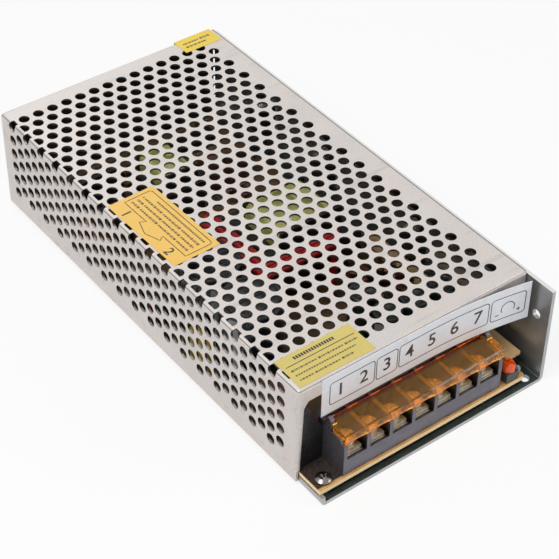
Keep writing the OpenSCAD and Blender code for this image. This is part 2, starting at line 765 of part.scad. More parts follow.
module fuse_clips() color([0.8, 0.78, 0.72]) {
    for (x = fuse_clip_x) translate([x, fuse_y, board_top]) difference() {
        block([0, -3.2, 0], [2.8, 6.4, 6]);
        rod([-1, 0, 4], 5.3, 5, "x");
        block([-1, -1.8, 4], [5, 3.6, 4]);
    }
    legs(fuse_legs());
}

// Legs at both ends of the longer side
function cap_legs(c) = c[3] > c[2]
    ? [for (y = [2, c[3] - 2]) [c[0] + c[2] / 2, c[1] + y, can_leg_d]]
    : [for (x = [2, c[2] - 2]) [c[0] + x, c[1] + c[3] / 2, can_leg_d]];

// A box capacitor standing on the board: [x, y, width, depth, height]
module box_cap(c) {
    translate([c[0], c[1], board_top]) linear_extrude(c[4]) round_rect([c[2], c[3]], 0.8);
    legs(cap_legs(c));
}

module film_capacitors() color([0.5, 0.33, 0.2]) for (c = film_caps) box_cap(c);

module line_capacitor() color([0.93, 0.78, 0.2]) box_cap(line_cap);

// An upright disc on two legs: [x, y, diameter, thickness]
module disc(c) {
    translate([c[0], c[1] - c[3] / 2, board_top + c[2] / 2 + 1.5]) rod([0, 0, 0], c[2], c[3], "y");
    legs(leg_pair(c[0], c[1], can_leg_d), 3.4);
}

module disc_capacitors() color([0.15, 0.35, 0.65]) for (c = disc_parts) disc(c);

module inrush_thermistor() color([0.2, 0.22, 0.2]) disc(thermistor);

// An upright can capacitor: [x, y, diameter, height]
module can(c) {
    translate([c[0], c[1], board_top]) difference() {
        cylinder(d = c[2], h = c[3]);
        for (a = [0, 60, 120]) rotate(a)
            translate([-c[2] * 0.36, -0.25, c[3] - 0.3]) cube([c[2] * 0.72, 0.5, 1]);
        translate([0, 0, 2.2]) rotate_extrude() translate([c[2] / 2, 0]) circle(0.5);
    }
    legs(leg_pair(c[0], c[1], can_leg_d));
}

module bulk_capacitors() color([0.1, 0.12, 0.2]) for (c = bulk_cans) can(c);

module output_capacitors() color([0.12, 0.25, 0.2]) for (c = output_cans) can(c);

function bridge_legs() = [for (x = [3, 8.3, 13.6, 19]) [bridge_at[0] + x, bridge_at[1] + 2.5, 1]];

module bridge_rectifier() color([0.13, 0.13, 0.14]) {
    block([bridge_at[0], bridge_at[1], board_top + 2], [22, 5, 17]);
    legs(bridge_legs(), 2 + e);
}

function chip_legs() = [for (i = [0:7], y = [-0.4, 6.8])
    [chip_at[0] + 0.9 + i * 2.54, chip_at[1] + y, 0.6]];

module control_chip() color([0.12, 0.12, 0.13]) {
    block([chip_at[0], chip_at[1], board_top + 0.5], [19.6, 6.4, 3.4]);
    legs(chip_legs(), 2);
    for (p = chip_legs()) block([p[0] - 0.3, min(p[1], chip_at[1] + 6.2), board_top + 1.6], [0.6, 0.6, 0.4]);
}

module small_resistors() color([0.8, 0.68, 0.5])
    for (r = resistors) {
        rod([r[0] - 3.2, r[1], board_top + 1.5], 2.4, 6.4, "x");
        rod([r[0] - resistor_reach, r[1], board_top + 1.5], 0.6, 2 * resistor_reach, "x");
        legs([for (s = [-1, 1]) [r[0] + s * resistor_reach, r[1], can_leg_d]], 1.8);
    }

function lead_foot(i) = [[lead_end[i][0], lead_corner[i][1]], [lead_corner[i][0], lead_end[i][1]]];
function lead_legs() = [for (i = [0:2], p = lead_foot(i)) [p[0], p[1], 1.1]];

// Three sleeved leads, each along the left side of the main transformer and across its front
module red_leads() color([0.8, 0.12, 0.1]) {
    for (i = [0:2]) {
        translate([lead_corner[i][0], lead_corner[i][1], lead_z]) {
            sphere(d = lead_d);
            rod([0, 0, 0], lead_d, lead_end[i][0] - lead_corner[i][0], "x");
            rod([0, 0, 0], lead_d, lead_end[i][1] - lead_corner[i][1], "y");
        }
        for (p = lead_foot(i)) translate([p[0], p[1], board_top]) {
            cylinder(d = lead_d, h = lead_z - board_top);
            translate([0, 0, lead_z - board_top]) sphere(d = lead_d);
        }
    }
    legs(lead_legs());
}

// ---------------------------------------------------------------- wound parts

module middle_rect(size, r) translate([-size[0] / 2, -size[1] / 2]) round_rect(size, r);

// Height of a coil's axis above the board
function coil_mid(coil) = coil[1] / 2 + 1;

// A core lying flat, with its middle leg along Y
module lying_core(at, size, leg, yoke, coil) {
    window = size[0] / 2 - leg;
    translate([at[0], at[1], board_top + coil_mid(coil) - size[2] / 2])
        linear_extrude(size[2]) difference() {
            square([size[0], size[1]], center = true);
            for (s = [-1, 1]) translate([s * size[0] / 4 - window / 2, yoke - size[1] / 2])
                square([window, size[1] - 2 * yoke]);
        }
}

function bobbin_legs(at, size, yoke) = [for (i = [-2:2], s = [-1, 1])
    [at[0] + i * size[0] * pin_step, at[1] + s * (size[1] / 2 - yoke + 1), 0.9]];

// A rectangle with a middle hole for a core leg
module leg_ring(outer, hole, r) difference() {
    middle_rect(outer, r);
    square(hole, center = true);
}

// Tube with two flanges round the middle leg, on rails that stand on the board
module bobbin(at, size, leg, yoke, coil) {
    end = size[1] / 2 - yoke - 0.1;
    hole = [leg + 0.2, size[2] + 0.2];
    translate([at[0], at[1], board_top]) {
        translate([0, 0, coil_mid(coil)]) {
            for (y = [-end, end - flange_t]) push_back(y, flange_t)
                leg_ring([size[0] - leg - 0.6, coil[1] + 2], hole, 1);
            push_back(-end, 2 * end) leg_ring(hole + [1.6, 1.6], hole, 0.3);
        }
        for (s = [0, 1]) mirror([0, s, 0])
            block([-size[0] * 0.4, end - flange_t, 0],
                  [size[0] * 0.8, rail_w, coil_mid(coil) - size[2] / 2 - 0.1]);
    }
    legs(bobbin_legs(at, size, yoke));
}

// Taped winding between the flanges
module coil(at, size, leg, yoke, coil) {
    l = size[1] - 2 * (yoke + flange_t + 0.15);
    translate([at[0], at[1], board_top + coil_mid(coil)])
        push_back(-l / 2, l) leg_ring(coil, [leg, size[2]] + [1.9, 1.9], coil[0] / 8);
}

module transformer_core() color([0.22, 0.22, 0.23])
    lying_core(core_at, core_size, core_leg, core_yoke, core_coil);
module transformer_bobbin() color([0.14, 0.14, 0.15])
    bobbin(core_at, core_size, core_leg, core_yoke, core_coil);
module transformer_winding() color([0.88, 0.86, 0.3])
    coil(core_at, core_size, core_leg, core_yoke, core_coil);

module drive_core() color([0.22, 0.22, 0.23])
    lying_core(drive_at, drive_size, drive_leg, drive_yoke, drive_coil);
module drive_bobbin() color([0.14, 0.14, 0.15])
    bobbin(drive_at, drive_size, drive_leg, drive_yoke, drive_coil);
module drive_winding() color([0.88, 0.86, 0.3])
    coil(drive_at, drive_size, drive_leg, drive_yoke, drive_coil);

// Mains filter: a ring core on edge with a winding on each upright leg
function filter_legs() = [for (x = [-1, 1], y = [-1, 1])
    [filter_at[0] + x * filter_pins[0], filter_at[1] + y * filter_pins[1], 0.9]];

module filter_choke_core() color([0.3, 0.3, 0.31])
    translate([filter_at[0], filter_at[1], board_top])
        push_back(-filter_size[1] / 2, filter_size[1]) difference() {
            translate([-filter_size[0] / 2, 0]) square([filter_size[0], filter_size[2]]);
            translate([filter_leg - filter_size[0] / 2, filter_yoke])
                square([filter_size[0] - 2 * filter_leg, filter_size[2] - 2 * filter_yoke]);
        }

module filter_choke_windings() color([0.72, 0.4, 0.2]) {
    for (s = [-1, 1])
        translate([filter_at[0] + s * (filter_size[0] - filter_leg) / 2, filter_at[1],
                   board_top + filter_yoke + 0.1])
            linear_extrude(filter_size[2] - 2 * filter_yoke - 0.2)
                leg_ring([filter_leg + 2 * filter_wall, filter_size[1] + 2 * filter_wall],
                         [filter_leg + 0.2, filter_size[1] + 0.2], 2);
    legs(filter_legs(), filter_yoke + 0.1 + e);
}

// Output choke: a ring lying flat, wound with separate turns of thick wire
function choke_turn_at(i) = i * 360 / choke_turns;
function choke_legs() = [for (i = [0, choke_turns / 2]) [
    choke_at[0] + (choke_d - wire_d) / 2 * cos(choke_turn_at(i)),
    choke_at[1] + (choke_d - wire_d) / 2 * sin(choke_turn_at(i)), 1.1]];

module output_choke_core() color([0.85, 0.8, 0.3])
    translate([choke_at[0], choke_at[1], board_top + (choke_h - choke_ring_h) / 2])
        linear_extrude(choke_ring_h) difference() {
            circle(d = choke_ring[1]);
            circle(d = choke_ring[0]);
        }

module output_choke_winding() color([0.72, 0.4, 0.2]) {
    for (i = [0:choke_turns - 1])
        translate([choke_at[0], choke_at[1], board_top]) rotate(choke_turn_at(i))
            push_back(-wire_d / 2, wire_d) difference() {
                translate([choke_ring[0] / 2 - wire_d, 0])
                    round_rect([(choke_d - choke_ring[0]) / 2 + wire_d, choke_h], 1.2);
                translate([choke_ring[0] / 2 - 0.1, (choke_h - choke_ring_h) / 2 - 0.05])
                    square([(choke_ring[1] - choke_ring[0]) / 2 + 0.2, choke_ring_h + 0.1]);
            }
    legs(choke_legs(), 2);
}

// ---------------------------------------------------------------- selector switch

function switch_legs() = [for (y = [-5, 0, 5], x = [2, 5.5]) [switch_x + x, switch_y + y, 0.9]];

// The slider is held behind the left face and moved through a window in it
module selector_switch() color([0.14, 0.14, 0.15]) {
    translate([switch_x, switch_y, board_top]) difference() {
        block([0, -8.5, 0], [7.5, 17, 9.8]);
        block([0.7, -slider_travel / 2 - 2.3, 3], [3.8, slider_travel + 4.6, 5]);
        block([-1, -slider_travel / 2 - 1.7, 3.6], [2, slider_travel + 3.4, 3.8]);
    }
    legs(switch_legs());
}

module selector_slider() color([0.75, 0.1, 0.08])
    translate([switch_x, switch_y - slider_travel / 2, slider_z]) {
        block([0.9, -2, -2.2], [3.3, 4, 4.4]);
        block([-0.7, -1.4, -1.6], [1.7, 2.8, 3.2]);
    }

// ---------------------------------------------------------------- nodes

base_chassis();
perforated_cover();
cover_screws();
board_standoffs();
board_screws();
under_board_film();
barrier_sheet();
marking_strip();
front_sticker();
selector_sticker();
back_sticker();
circuit_board();
terminal_housing();
terminal_flap();
contact_plates();
terminal_screw(0);  // terminal_screw_1
terminal_screw(1);  // terminal_screw_2
terminal_screw(2);  // terminal_screw_3
terminal_screw(3);  // terminal_screw_4
terminal_screw(4);  // terminal_screw_5
terminal_screw(5);  // terminal_screw_6
terminal_screw(6);  // terminal_screw_7
clamp_plate(0);  // clamp_plate_1
clamp_plate(1);  // clamp_plate_2
clamp_plate(2);  // clamp_plate_3
clamp_plate(3);  // clamp_plate_4
clamp_plate(4);  // clamp_plate_5
clamp_plate(5);  // clamp_plate_6
clamp_plate(6);  // clamp_plate_7
trimmer_body();
trimmer_rotor();
indicator_lamp();
output_bus_bar();
package_screws();
package_nuts();
insulating_pads();
output_rectifiers();
switching_transistors();
fuse();
fuse_clips();
film_capacitors();
line_capacitor();
disc_capacitors();
inrush_thermistor();
filter_choke_core();
filter_choke_windings();
bridge_rectifier();
bulk_capacitors();
transformer_core();
transformer_winding();
transformer_bobbin();
drive_core();
drive_bobbin();
drive_winding();
output_choke_core();
output_choke_winding();
output_capacitors();
control_chip();
small_resistors();
red_leads();
selector_switch();
selector_slider();
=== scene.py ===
"""Dresses the mesh case power supply: materials for every solid, the print on its labels,
the small things on the board, and the floor, lights and camera."""

import json
import math

import bpy
import bmesh
from mathutils import Matrix, Vector


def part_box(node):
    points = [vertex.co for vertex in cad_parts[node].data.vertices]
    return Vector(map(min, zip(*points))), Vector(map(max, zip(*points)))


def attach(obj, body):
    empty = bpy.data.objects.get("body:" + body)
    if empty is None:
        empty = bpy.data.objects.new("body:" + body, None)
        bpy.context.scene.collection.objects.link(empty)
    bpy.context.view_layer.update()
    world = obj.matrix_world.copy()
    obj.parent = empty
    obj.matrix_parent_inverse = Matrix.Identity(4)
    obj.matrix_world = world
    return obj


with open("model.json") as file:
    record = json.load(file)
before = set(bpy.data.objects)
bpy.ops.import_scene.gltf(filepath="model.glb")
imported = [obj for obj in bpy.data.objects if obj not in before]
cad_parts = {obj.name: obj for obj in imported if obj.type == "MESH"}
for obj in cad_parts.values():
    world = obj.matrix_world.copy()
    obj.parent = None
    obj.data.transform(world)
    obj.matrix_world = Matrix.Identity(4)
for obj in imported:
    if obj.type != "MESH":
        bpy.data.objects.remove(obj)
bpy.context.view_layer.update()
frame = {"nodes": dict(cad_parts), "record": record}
NODES = frame["nodes"]
BODY = "body"
MM = 0.001


def srgb(r, g, b):
    """Linear colour from a screen colour of 0 to 255."""
    return tuple(((c / 255 + 0.055) / 1.055) ** 2.4 if c > 10 else c / 255 / 12.92 for c in (r, g, b))


def darker(colour, share):
    """A colour with only a share of its light."""
    return tuple(c * share for c in colour)


def box_mm(name):
    """Lowest and highest corner of a CAD node, in millimetres."""
    low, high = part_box(name)
    return low / MM, high / MM


# ---------------------------------------------------------------- shader nodes


def node(tree, kind, **values):
    """A new shader node, with each value set on the input or the property of its name."""
    made = tree.nodes.new(kind)
    for key, value in values.items():
        if key in made.inputs:
            made.inputs[key].default_value = value
        else:
            setattr(made, key, value)
    return made


def noise(tree, size_mm, stretch=(1, 1, 1), detail=3.0, offset=0.0):
    """Noise fixed to the object, with features about size_mm across."""
    mapping = node(tree, "ShaderNodeMapping")
    mapping.inputs["Scale"].default_value = stretch
    mapping.inputs["Location"].default_value = (offset, offset * 0.7, -offset)
    tree.links.new(node(tree, "ShaderNodeTexCoord").outputs["Object"], mapping.inputs["Vector"])
    made = node(tree, "ShaderNodeTexNoise", Scale=1 / (size_mm * MM), Detail=detail)
    tree.links.new(mapping.outputs[0], made.inputs["Vector"])
    return made.outputs["Fac"]


def spread(tree, value, low, high, start=0.3, end=0.7):
    """A value from start to end mapped to low to high, and held at the ends beyond them."""
    made = node(tree, "ShaderNodeMapRange")
    for key, number in (("From Min", start), ("From Max", end), ("To Min", low), ("To Max", high)):
        made.inputs[key].default_value = number
    tree.links.new(value, made.inputs["Value"])
    return made.outputs[0]


def rising(tree, value, start, end):
    """0 up to start, 1 from end on."""
    return spread(tree, value, 0, 1, start, end)


def falling(tree, value, start, end):
    """1 up to start, 0 from end on."""
    return spread(tree, value, 1, 0, start, end)


def blend(tree, amount, a, b):
    """Mix of two colours, each a tuple or a socket, by a socket or a number."""
    made = node(tree, "ShaderNodeMix", data_type="RGBA")
    for value, socket in ((amount, made.inputs[0]), (a, made.inputs[6]), (b, made.inputs[7])):
        if isinstance(value, bpy.types.NodeSocket):
            tree.links.new(value, socket)
        elif isinstance(value, tuple):
            socket.default_value = (*value, 1)
        else:
            socket.default_value = value
    return made.outputs[2]


def clouded(tree, size_mm, a, b, offset=0.0):
    """Two colours that give way to each other in clouds."""
    return blend(tree, spread(tree, noise(tree, size_mm, detail=4, offset=offset), 0, 1), a, b)


def arithmetic(tree, operation, *values):
    """One sum on sockets or numbers."""
    made = node(tree, "ShaderNodeMath", operation=operation)
    for i, value in enumerate(values):
        if isinstance(value, bpy.types.NodeSocket):
            tree.links.new(value, made.inputs[i])
        else:
            made.inputs[i].default_value = value
    return made.outputs[0]


def over(tree, value, limit):
    """1 above a limit, else 0."""
    return arithmetic(tree, "GREATER_THAN", value, limit)


def under(tree, value, limit):
    """1 below a limit, else 0."""
    return arithmetic(tree, "LESS_THAN", value, limit)


def both(tree, a, b):
    """1 where two masks are 1. A number instead of a mask weakens the other."""
    return arithmetic(tree, "MULTIPLY", a, b)


def either(tree, a, b):
    """1 where one of two masks is 1."""
    return arithmetic(tree, "MAXIMUM", a, b)


def part_of(tree, vector, axis):
    """One axis of a vector."""
    parts = node(tree, "ShaderNodeSeparateXYZ")
    tree.links.new(vector, parts.inputs[0])
    return parts.outputs[axis]


def position(tree, axis):
    """Where a point of the object lies along an axis, in metres."""
    return part_of(tree, node(tree, "ShaderNodeTexCoord").outputs["Object"], axis)


def facing(tree, axis):
    """How squarely the surface looks along an axis, from -1 to 1."""
    return part_of(tree, node(tree, "ShaderNodeNewGeometry").outputs["Normal"], axis)


def up_facing(tree):
    """1 where the surface looks up, else 0."""
    return rising(tree, facing(tree, "Z"), 0.7, 0.9)


def crevice(tree, reach_mm, dark, open_air):
    """1 where a solid's own faces shut out the light within a reach, 0 in the open. The last
    two are the shares of open sky at which it reaches 1 and 0."""
    made = node(tree, "ShaderNodeAmbientOcclusion", Distance=reach_mm * MM, only_local=True)
    return falling(tree, made.outputs["AO"], dark, open_air)


def mix_shaders(tree, amount, first, second, end):
    """Joins two shaders by a mask, and feeds the end node's surface with them."""
    mixed = node(tree, "ShaderNodeMixShader")
    tree.links.new(amount, mixed.inputs[0])
    tree.links.new(first.outputs[0], mixed.inputs[1])
    tree.links.new(second.outputs[0], mixed.inputs[2])
    tree.links.new(mixed.outputs[0], tree.nodes[end].inputs["Surface"])


# ---------------------------------------------------------------- materials

RELIEF_STRENGTH = 0.6
GLOSS_PATCH = 0.6                      # size of the patches of gloss, as a share of those of colour


def surface(name, colour, rough, metallic=0.0, shade=0.1, patch=4.0, grain=0.4, depth=0.01,
            stretch=(1, 1, 1), rough_spread=0.06, **extra):
    """A material whose colour and gloss vary over patches, with a fine grain in its relief.
    Sizes are in millimetres; extra names sockets of the Principled shader."""
    made = bpy.data.materials.new(name)
    made.use_nodes = True
    tree = made.node_tree
    shader = tree.nodes["Principled BSDF"]
    shader.inputs["Metallic"].default_value = metallic
    for key, value in extra.items():
        shader.inputs[key.replace("_", " ")].default_value = value
    lighter = tuple(min(1, c * (1 + shade)) for c in colour)
    mixed = blend(tree, spread(tree, noise(tree, patch, stretch), 0, 1), darker(colour, 1 - shade), lighter)
    tree.links.new(mixed, shader.inputs["Base Color"])
    gloss = spread(tree, noise(tree, patch * GLOSS_PATCH, stretch, offset=3.1),
                   max(0.02, rough - rough_spread), rough + rough_spread)
    tree.links.new(gloss, shader.inputs["Roughness"])
    relief = node(tree, "ShaderNodeBump", Strength=RELIEF_STRENGTH, Distance=depth * MM)
    tree.links.new(noise(tree, grain, stretch, 2.0, 1.7), relief.inputs["Height"])
    tree.links.new(relief.outputs[0], shader.inputs["Normal"])
    return made


def base_colour(made):
    """The socket that now feeds a material's base colour."""
    return made.node_tree.nodes["Principled BSDF"].inputs["Base Color"].links[0].from_socket


def recoloured(made, colour):
    """The material with its base colour fed by another socket."""
    made.node_tree.links.new(colour, made.node_tree.nodes["Principled BSDF"].inputs["Base Color"])
    return made


def outward(tree):
    """1 on the outer faces of the cover, 0 on its inner faces and in its vents."""
    low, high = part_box("perforated_cover")
    skin = 0.7 * MM
    faces = over(tree, facing(tree, "Z"), 0.6)
    for axis, limit, sign in (("X", low.x, -1), ("Y", low.y, -1), ("Y", high.y, 1)):
        faced = over(tree, arithmetic(tree, "MULTIPLY", facing(tree, axis), sign), 0.6)
        depth = arithmetic(tree, "MULTIPLY", arithmetic(tree, "SUBTRACT", limit, position(tree, axis)), sign)
        faces = either(tree, faces, both(tree, faced, under(tree, depth, skin)))
    return faces


def painted_fold_shade(tree):
    """1 along the cover's upper folds and along its right edge, where shade is painted, 0 elsewhere."""
    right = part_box("perforated_cover")[1].x
    fold_slope = 0.7
    off_fold = arithmetic(tree, "ABSOLUTE", arithmetic(tree, "SUBTRACT", facing(tree, "Z"), fold_slope))
    fold = falling(tree, off_fold, 0.03, 0.16)
    edge = rising(tree, position(tree, "X"), right - 0.7 * MM, right - 0.3 * MM)
    return either(tree, fold, edge)


def cover_metal():
    """Pale galvanised sheet: warm clouds, pale flecks and soft scuffs, with painted shade along its
    folds and right edge, and on its inner faces and in its vents."""
    made = surface("cover_metal", srgb(204, 199, 196), 0.4, 0.55, shade=0.04, patch=22,
                   grain=0.5, depth=0.006, rough_spread=0.07)
    tree = made.node_tree
    warmth = spread(tree, noise(tree, 7, detail=5, offset=2.3), 0, 0.5)
    warm = blend(tree, warmth, base_colour(made), srgb(214, 200, 190))
    flecks = spread(tree, noise(tree, 0.5, detail=3, offset=5), 0, 0.5, 0.5, 0.68)
    flecked = blend(tree, flecks, warm, srgb(232, 229, 226))
    scuffs = spread(tree, noise(tree, 4, (0.15, 1, 1), 5, 8.2), 0, 0.22, 0.58, 0.7)
    scuffed = blend(tree, scuffs, flecked, srgb(150, 147, 148))
    # Painted shade: a dark line along the upper folds and the right edge of the sheet.
    outside = blend(tree, both(tree, painted_fold_shade(tree), 0.7), scuffed, srgb(62, 58, 56))
    # Painted shade: the inner faces and the vent walls are dark.
    return recoloured(made, blend(tree, outward(tree), srgb(76, 72, 70), outside))


def chassis_metal():
    """Satin sheet with the faint lines of rolling along its length, with painted shade in its corners
    and on its floor, and a painted highlight along the top edge of its wall."""
    made = surface("chassis_metal", srgb(176, 179, 180), 0.34, 0.8, shade=0.1, patch=9,
                   grain=0.35, depth=0.008, stretch=(1, 0.06, 1), rough_spread=0.1)
    tree = made.node_tree
    # Painted shade in the corners, where the sheet's own faces shut out the light.
    shaded = blend(tree, crevice(tree, 12, 0.2, 0.85), base_colour(made), srgb(36, 46, 47))
    wear = spread(tree, noise(tree, 1.2, detail=4, offset=4.4), 0, 0.3, 0.55, 0.7)
    shaded_and_worn = blend(tree, wear, shaded, srgb(182, 182, 182))
    # Painted shade on the low floor of the chassis.
    floor = both(tree, up_facing(tree), under(tree, position(tree, "Z"), 3 * MM))
    floor_with_painted_shade = blend(tree, floor, shaded_and_worn, srgb(86, 100, 100))
    # Painted highlight along the top edge of the wall.
    painted_edge_highlight = both(tree, up_facing(tree), over(tree, position(tree, "Z"), 30 * MM))
    return recoloured(made, blend(tree, painted_edge_highlight, floor_with_painted_shade, srgb(222, 222, 220)))


def board_laminate():
    """Paper laminate: golden on its cut edge; on its top golden with painted light along its front
    margin and right of the terminal block, near black with painted shade left of the block, and tan
    under the cover."""
    made = surface("board_laminate", srgb(118, 94, 68), 0.5, shade=0.25, patch=6,
                   grain=0.6, depth=0.01, Specular_IOR_Level=0.35)
    tree = made.node_tree
    margin_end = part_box("circuit_board")[0].y + 0.8 * MM
    block_low, block_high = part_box("terminal_housing")
    cover_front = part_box("perforated_cover")[0].y
    margin = falling(tree, position(tree, "Y"), margin_end, margin_end + 0.8 * MM)
    porch = falling(tree, position(tree, "Y"), cover_front + 2 * MM, cover_front + 8 * MM)
    left = falling(tree, position(tree, "X"), block_low.x, block_low.x + 2 * MM)
    right = rising(tree, position(tree, "X"), block_high.x - 2 * MM, block_high.x)
    # Painted shade: near black clouds on the top left of the terminal block, in front of the cover.
    painted_shade_clouds = clouded(tree, 0.9, srgb(34, 27, 25), srgb(74, 62, 54))
    top_with_painted_shade = blend(tree, both(tree, porch, left), base_colour(made), painted_shade_clouds)
    # Painted light: golden on the top along the front margin and right of the terminal block.
    golden = clouded(tree, 5, srgb(196, 146, 86), srgb(222, 180, 118))
    top = blend(tree, either(tree, margin, both(tree, porch, right)), top_with_painted_shade, golden)
    return recoloured(made, blend(tree, up_facing(tree), srgb(244, 214, 166), top))


def wound_tape(name, colour):
    """Tape wound round a coil: thin lines up its side where each turn overlaps."""
    made = surface(name, colour, 0.3, shade=0.06, patch=5, grain=1.2, depth=0.02)
    tree = made.node_tree
    turn, line = 1.1 * MM, 0.12 * MM
    off_line = arithmetic(tree, "PINGPONG", position(tree, "Z"), turn)
    lines = spread(tree, off_line, 0.4, 0, 0, line)
    return recoloured(made, blend(tree, lines, base_colour(made), darker(colour, 0.55)))


def can_sleeve(name, colour):
    """Shrunk sleeve of a can, which leaves the grey top of the can bare."""
    made = surface(name, colour, 0.28, shade=0.08, patch=5, grain=1.5, depth=0.02, Coat_Weight=0.3)
    tree = made.node_tree
    return recoloured(made, blend(tree, up_facing(tree), base_colour(made), srgb(58, 58, 60)))


def amber_plastic():
    """Clear amber moulding, redder along its hinge edge. Light from lamps passes it tinted, so that
    what lies under it is lit."""
    made = surface("amber_plastic", srgb(255, 192, 70), 0.03, shade=0.05, patch=9, grain=5,
                   depth=0.006, rough_spread=0.01, Transmission_Weight=0.96, IOR=1.4)
    tree = made.node_tree
    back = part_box("terminal_flap")[1].y
    hinge = rising(tree, position(tree, "Y"), back - 1.6 * MM, back - 0.9 * MM)
    lip = blend(tree, up_facing(tree), srgb(255, 182, 52), base_colour(made))
    recoloured(made, blend(tree, hinge, lip, srgb(206, 84, 24)))
    passed = node(tree, "ShaderNodeBsdfTransparent", Color=(1.0, 0.9, 0.6, 1))
    mix_shaders(tree, node(tree, "ShaderNodeLightPath").outputs["Is Shadow Ray"],
                tree.nodes["Principled BSDF"], passed, "Material Output")
    return made


def block_plastic():
    """Dark moulding with a faint purple cast, near black with painted shade inside its ways, and darker
    on its left side, in clouds, with painted shade."""
    made = surface("block_plastic", srgb(98, 95, 106), 0.4, shade=0.14, patch=3, grain=0.35, depth=0.02)
    tree = made.node_tree
    outer_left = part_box("terminal_housing")[0].x
    left = under(tree, position(tree, "X"), outer_left + 0.1 * MM)
    # Painted shade: the left side is darker, in clouds.
    shaded_mottle = clouded(tree, 0.8, srgb(40, 37, 41), srgb(78, 74, 80), 3.1)
    side_shaded = blend(tree, left, base_colour(made), shaded_mottle)
    # Painted shade: near black inside the ways, where the block's own faces shut out the light.
    return recoloured(made, blend(tree, crevice(tree, 13, 0.62, 0.97), side_shaded, srgb(8, 7, 9)))


def print_film(name, colour):
    """Smooth coated label stock."""
    return surface(name, colour, 0.32, shade=0.03, patch=6, grain=0.9, depth=0.004,
                   Coat_Weight=0.3, Coat_Roughness=0.2)


def ink(name, colour):
    """Matt ink on a label."""
    return surface(name, colour, 0.4, shade=0.08, patch=2, grain=0.5, depth=0.002)


SURFACES = {
    "screw_metal": dict(colour=srgb(220, 214, 204), rough=0.34, metallic=0.6, shade=0.14, patch=1.5,
                        grain=0.3, depth=0.01),
    "contact_metal": dict(colour=srgb(206, 200, 188), rough=0.3, metallic=0.95, shade=0.16, patch=2,
                          grain=0.3, depth=0.01),
    "bracket_metal": dict(colour=srgb(226, 190, 136), rough=0.4, metallic=0.3, shade=0.12, patch=4,
                          grain=0.3, depth=0.01, stretch=(1, 0.2, 1)),
    "black_film": dict(colour=srgb(30, 30, 33), rough=0.3, shade=0.2, patch=5, grain=0.8, depth=0.01),
    "grey_plastic": dict(colour=srgb(58, 58, 60), rough=0.4, shade=0.12, patch=2, grain=0.4, depth=0.01),
    "brown_case": dict(colour=srgb(112, 72, 46), rough=0.32, shade=0.14, patch=4, grain=0.6, depth=0.03),
    "orange_plastic": dict(colour=srgb(226, 88, 22), rough=0.3, shade=0.12, patch=1.5, grain=0.4,
                           depth=0.01, Coat_Weight=0.3),
    "lamp_plastic": dict(colour=srgb(222, 226, 226), rough=0.12, shade=0.04, patch=2, grain=1,
                         depth=0.005, Transmission_Weight=0.7),
    "black_package": dict(colour=srgb(30, 30, 32), rough=0.48, shade=0.15, patch=2, grain=0.25, depth=0.02),
    "pad_silicone": dict(colour=srgb(150, 160, 164), rough=0.6, shade=0.08, patch=3, grain=0.3, depth=0.02),
    "glass_tube": dict(colour=srgb(226, 230, 230), rough=0.05, shade=0.03, patch=4, grain=2, depth=0.005,
                       rough_spread=0.02, Transmission_Weight=0.8),
    "yellow_case": dict(colour=srgb(236, 196, 52), rough=0.35, shade=0.06, patch=4, grain=0.5, depth=0.02),
    "blue_coating": dict(colour=srgb(30, 74, 120), rough=0.2, shade=0.12, patch=3, grain=1.6, depth=0.06,
                         Coat_Weight=0.5),
    "green_coating": dict(colour=srgb(48, 56, 50), rough=0.45, shade=0.2, patch=2, grain=0.5, depth=0.05),
    "ferrite": dict(colour=srgb(44, 43, 44), rough=0.5, metallic=0.2, shade=0.18, patch=3, grain=0.25,
                    depth=0.02),
    "enamelled_copper": dict(colour=srgb(150, 84, 44), rough=0.25, metallic=0.85, shade=0.15, patch=2.5,
                             grain=0.8, depth=0.02, Coat_Weight=0.6, Coat_Roughness=0.1),
    "resistor_coating": dict(colour=srgb(170, 140, 98), rough=0.4, shade=0.08, patch=1.5, grain=0.5,
                             depth=0.02),
    "red_sleeve": dict(colour=srgb(196, 20, 28), rough=0.35, shade=0.1, patch=3, grain=0.5, depth=0.01,
                       Coat_Weight=0.2),
    "red_plastic": dict(colour=srgb(170, 30, 24), rough=0.4, shade=0.1, patch=2, grain=0.4, depth=0.01),
}
FILMS = {
    "label_film": srgb(232, 235, 241),
    "pale_yellow_film": srgb(209, 190, 104),
    "yellow_film": srgb(236, 190, 88),
}
SLEEVES = {
    "can_sleeve": srgb(24, 26, 36),
    "output_sleeve": srgb(26, 44, 42),
}


def slot_materials():
    """One material for each material slot of the record."""
    made = {slot: surface(slot, **look) for slot, look in SURFACES.items()}
    made |= {slot: print_film(slot, colour) for slot, colour in FILMS.items()}
    made |= {slot: can_sleeve(slot, colour) for slot, colour in SLEEVES.items()}
    made["yellow_tape"] = wound_tape("yellow_tape", srgb(228, 228, 140))
    made["chassis_sheet"] = chassis_metal()
    made["cover_sheet"] = cover_metal()
    made["board"] = board_laminate()
    made["block_plastic"] = block_plastic()
    made["amber_plastic"] = amber_plastic()
    return made


def dress_solids(paint):
    """Gives every CAD node the material of its slot, but two nodes one of their own."""
    own = {"back_sticker": print_film("bright_yellow_film", srgb(234, 204, 62)),
           # Painted shade: the board screws get a darker copy of the screw metal.
           "board_screws": surface("shaded_screw_metal", srgb(128, 122, 118), 0.24, 1.0, shade=0.2,
                                   patch=1, grain=0.3, depth=0.01)}
    for part in frame["record"]["subparts"]:
        material = own.get(part["node"], paint[part["material_slot"]])
        for slot in NODES[part["node"]].material_slots:
            slot.material = material


PAINT = slot_materials()
dress_solids(PAINT)


# ---------------------------------------------------------------- meshes


